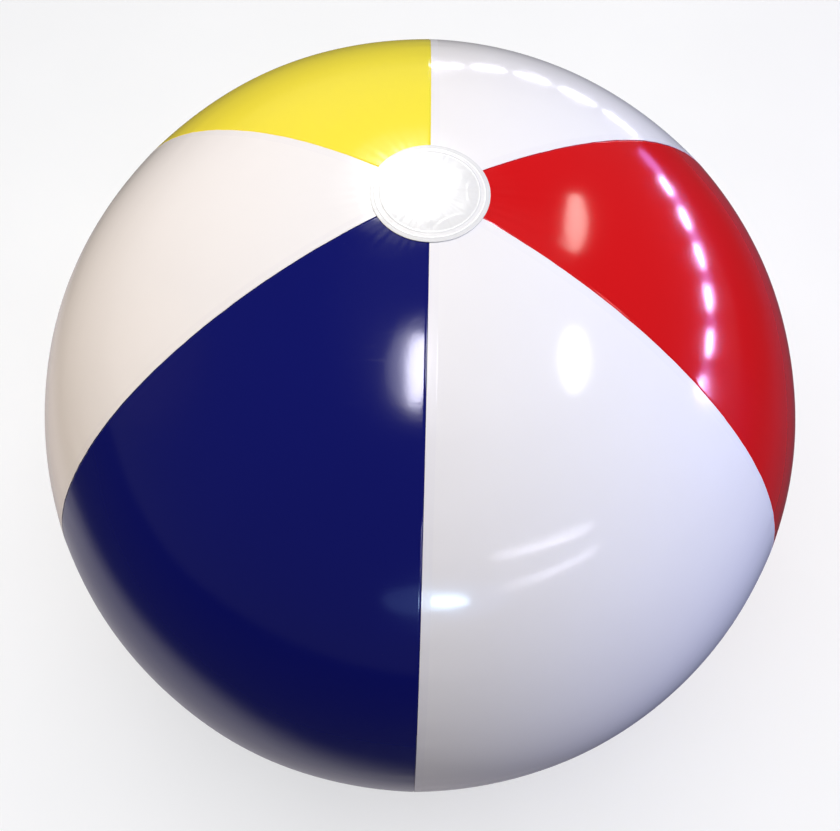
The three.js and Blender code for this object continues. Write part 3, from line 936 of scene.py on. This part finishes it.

# %% [markdown]
# ## The room
# The floor is plain and pale. A white floor close under a ball lights it from below like a lamp, and
# fills the gloss with white. So the floor is pale to the eye, but the light it throws back is painted
# shade: a dim warm colour that keeps the ball's underside dark and brownish. The gloss sees a painted
# reflection: a bright pool beside the ball, mirrored as a grey band along the rim, and a dark floor
# beyond.
# %% Floor
# Painted shade for the light the floor throws back, then a painted reflection: bright in the pool, dark
# beyond.
FLOOR_PAINTED_SHADE = (0.14, 0.08, 0.06)
FLOOR_PAINTED_REFLECTION = (0.42, 0.40, 0.43)
FLOOR_PAINTED_DARK_REFLECTION = (0.03, 0.03, 0.035)
PAINTED_POOL_MIDDLE = (-0.5, -0.12, 0)


def floor_finish():
    material = bpy.data.materials.new("pale_floor")
    material.use_nodes = True
    tree = material.node_tree
    shader = tree.nodes["Principled BSDF"]
    place = node(tree, "ShaderNodeTexCoord").outputs["Object"]
    tone = node(tree, "ShaderNodeValToRGB")
    tone.color_ramp.elements[0].color = (0.94, 0.94, 0.945, 1)
    tone.color_ramp.elements[1].color = (0.99, 0.99, 0.995, 1)
    tree.links.new(noise(tree, place, 3.0, 3.0), tone.inputs["Fac"])
    rays = node(tree, "ShaderNodeLightPath")
    from_pool = node(tree, "ShaderNodeVectorMath", operation="DISTANCE")
    from_pool.inputs[1].default_value = PAINTED_POOL_MIDDLE
    tree.links.new(place, from_pool.inputs[0])
    # Painted reflection: the gloss sees the floor bright near the ball and dark further out.
    painted_reflection = node(tree, "ShaderNodeMix", data_type="RGBA")
    painted_reflection.inputs["A"].default_value = (*FLOOR_PAINTED_REFLECTION, 1)
    painted_reflection.inputs["B"].default_value = (*FLOOR_PAINTED_DARK_REFLECTION, 1)
    tree.links.new(remap(tree, from_pool.outputs["Value"], 0.62, 1.0), painted_reflection.inputs["Factor"])
    # Painted shade: all other light off the floor takes a dim warm colour, and glossy rays take the
    # painted reflection.
    painted_shade_and_reflection = node(tree, "ShaderNodeMix", data_type="RGBA")
    painted_shade_and_reflection.inputs["A"].default_value = (*FLOOR_PAINTED_SHADE, 1)
    tree.links.new(rays.outputs["Is Glossy Ray"], painted_shade_and_reflection.inputs["Factor"])
    tree.links.new(painted_reflection.outputs["Result"], painted_shade_and_reflection.inputs["B"])
    seen = node(tree, "ShaderNodeMix", data_type="RGBA")
    tree.links.new(painted_shade_and_reflection.outputs["Result"], seen.inputs["A"])
    tree.links.new(rays.outputs["Is Camera Ray"], seen.inputs["Factor"])
    tree.links.new(tone.outputs["Color"], seen.inputs["B"])
    tree.links.new(seen.outputs["Result"], shader.inputs["Base Color"])
    shader.inputs["Roughness"].default_value = 0.7
    return material


floor_mesh = bpy.data.meshes.new("floor")
half_floor = 9.0
floor_corners = [(-half_floor, -half_floor, 0), (half_floor, -half_floor, 0),
                 (half_floor, half_floor, 0), (-half_floor, half_floor, 0)]
floor_mesh.from_pydata(floor_corners, [], [(0, 1, 2, 3)])
floor = bpy.data.objects.new("floor", floor_mesh)
scene.collection.objects.link(floor)
floor_mesh.materials.append(floor_finish())

# %% [markdown]
# ## Light
# Two kinds of light do the work. Fills are wide and soft, and light the ball without being mirrored
# in it, so the colours read evenly. Glints are the opposite: windows and lamps that only show as
# shapes in the gloss. A glint is given by where its two ends lie on the ball, and the mirrored line
# of sight leads from there out to the light. Moving lamps about by hand would also do, but the
# mirrored line puts each of them right at the first try.
# %% Light helpers
def on_ball(azimuth, latitude):
    a, b = math.radians(azimuth), math.radians(latitude)
    return Vector((math.cos(a) * math.cos(b), math.sin(a) * math.cos(b), math.sin(b)))


def area_light(name, place, axes, size, radiance, colour):
    data = bpy.data.lights.new(name, "AREA")
    data.shape = "ELLIPSE"
    data.size, data.size_y = size
    data.energy = radiance * math.pi * size[0] * size[1] * math.pi / 4
    data.color = colour
    light = bpy.data.objects.new(name, data)
    scene.collection.objects.link(light)
    light.location = place
    light.rotation_euler = axes.to_euler()
    return light


def floor_link(name, state):
    """A link that makes a light reach only the floor (INCLUDE) or everything else (EXCLUDE)."""
    link = bpy.data.collections.new(name)
    link.objects.link(floor)
    link.collection_objects[0].light_linking.link_state = state
    return link


ONLY_FLOOR = floor_link("only_the_floor", "INCLUDE")
NOT_FLOOR = floor_link("not_the_floor", "EXCLUDE")


def fill(name, place, size, radiance, colour=(1, 1, 1), reach=None):
    """A soft light that the gloss doesn't mirror, turned to the ball."""
    away = Vector(place) - middle
    light = area_light(name, place, away.to_track_quat("Z", "Y").to_matrix(), size, radiance, colour)
    light.visible_glossy = False
    if reach:
        light.light_linking.receiver_collection = reach
    return light


def mirrored_spot(azimuth, latitude, distance):
    normal = on_ball(azimuth, latitude)
    spot = middle + normal * RADIUS
    to_eye = (camera.location - spot).normalized()
    return spot + (2 * normal.dot(to_eye) * normal - to_eye) * distance


def glint(name, one_end, other_end, width, radiance, colour=(1, 1, 1), distance=2.2):
    """A light that only shows in the gloss, between two places on the ball."""
    first = mirrored_spot(*one_end, distance)
    last = mirrored_spot(*other_end, distance)
    place = (first + last) / 2
    back = (place - middle).normalized()
    along = last - first
    length = along.length
    along = (along - back * along.dot(back)).normalized()
    axes = Matrix((along.cross(back), along, back)).transposed()
    light = area_light(name, place, axes, (width, length), radiance, colour)
    light.visible_diffuse = False
    return light


def row_of_glints(name, one_end, other_end, count, filled, width, radiance, colour):
    """A row of equal lamps. filled is the share of the row that they take up."""
    for k in range(count):
        ends = []
        for share in ((k + 0.5 - filled / 2) / count, (k + 0.5 + filled / 2) / count):
            ends.append(tuple(a + (b - a) * share for a, b in zip(one_end, other_end)))
        glint(f"{name}_{k + 1}", *ends, width, radiance, colour)


# %% [markdown]
# The fills are warm from the left and cool from the right, with the strongest one overhead. The
# tinted ones are linked past the floor, which keeps it neutral, and the floor has a lamp of its own.
# %% Fills
fill("overhead_fill", (0.6, 0.35, 3.6), (3.8, 3.8), 3.3, (1.0, 0.985, 0.98), NOT_FLOOR)
fill("left_fill", (-2.7, 0.2, 1.2), (1.5, 1.5), 6.0, (1.0, 0.74, 0.43), NOT_FLOOR)
fill("back_fill", (-0.8, 3.0, 0.9), (1.8, 1.8), 3.2, (0.97, 0.96, 1.0), NOT_FLOOR)
fill("floor_lamp", (0.0, 0.0, 7.0), (12, 12), 2.1, reach=ONLY_FLOOR)
fill("right_fill", (2.9, -0.15, 0.7), (1.4, 1.4), 11, (0.24, 0.36, 1.0), NOT_FLOOR)

# %% [markdown]
# The key is a bright softbox that glows in the top patch. Three windows, two rows of small lamps,
# and a lamp and two strips near the viewer make the other shapes in the gloss.
# %% Glints
COOL = (0.86, 0.84, 1.0)
VIOLET = (0.66, 0.52, 1.0)
glint("key_softbox", (112, 84.5), (-122, 86.5), 0.85, 11)
glint("key_glow", (104, 82), (-108, 84.5), 1.3, 0.7)
glint("front_window", (-94.5, 76.5), (-93.5, 69.5), 0.22, 32, COOL)
glint("front_window_glow", (-96.5, 77), (-95.5, 69.5), 0.44, 3, COOL)
glint("right_window", (-43, 71.8), (-54, 67.4), 0.32, 9)
glint("back_window", (7, 75.9), (-19, 75.7), 0.20, 9.0, (1.0, 0.88, 0.80))
row_of_glints("lamp", (19, 64), (-33, 56.5), 6, 0.62, 0.05, 90, VIOLET)
row_of_glints("lamp_glow", (26, 64.5), (-33, 56.5), 6, 1.0, 0.15, 4, (0.5, 0.3, 1.0))
row_of_glints("far_window", (91, 70), (31, 62), 5, 0.8, 0.09, 16, COOL)
glint("near_lamp", (-89.4, 52.1), (-83.2, 52.0), 0.10, 40, (0.50, 0.72, 1.0))
glint("near_lamp_glow", (-96, 51.9), (-77, 51.9), 0.42, 1.1, (0.30, 0.48, 1.0))
glint("near_strip", (-79, 56.0), (-61.5, 56.0), 0.028, 27, COOL)
glint("near_strip_low", (-78.5, 52.8), (-61.5, 53.5), 0.026, 20, COOL)

# %% [markdown]
# The rest is an even surround. It is pale to the eye and dim in the gloss, so that the deep colours
# stay deep.
# %% Surround
world = bpy.data.worlds.new("surround")
world.use_nodes = True
sky = world.node_tree.nodes["Background"]
rays = node(world.node_tree, "ShaderNodeLightPath")
shade = node(world.node_tree, "ShaderNodeMix", data_type="RGBA")
shade.inputs["A"].default_value = (0.10, 0.10, 0.11, 1)
shade.inputs["B"].default_value = (0.88, 0.88, 0.89, 1)
world.node_tree.links.new(rays.outputs["Is Camera Ray"], shade.inputs["Factor"])
world.node_tree.links.new(shade.outputs["Result"], sky.inputs["Color"])
scene.world = world
scene.view_settings.view_transform = "Standard"
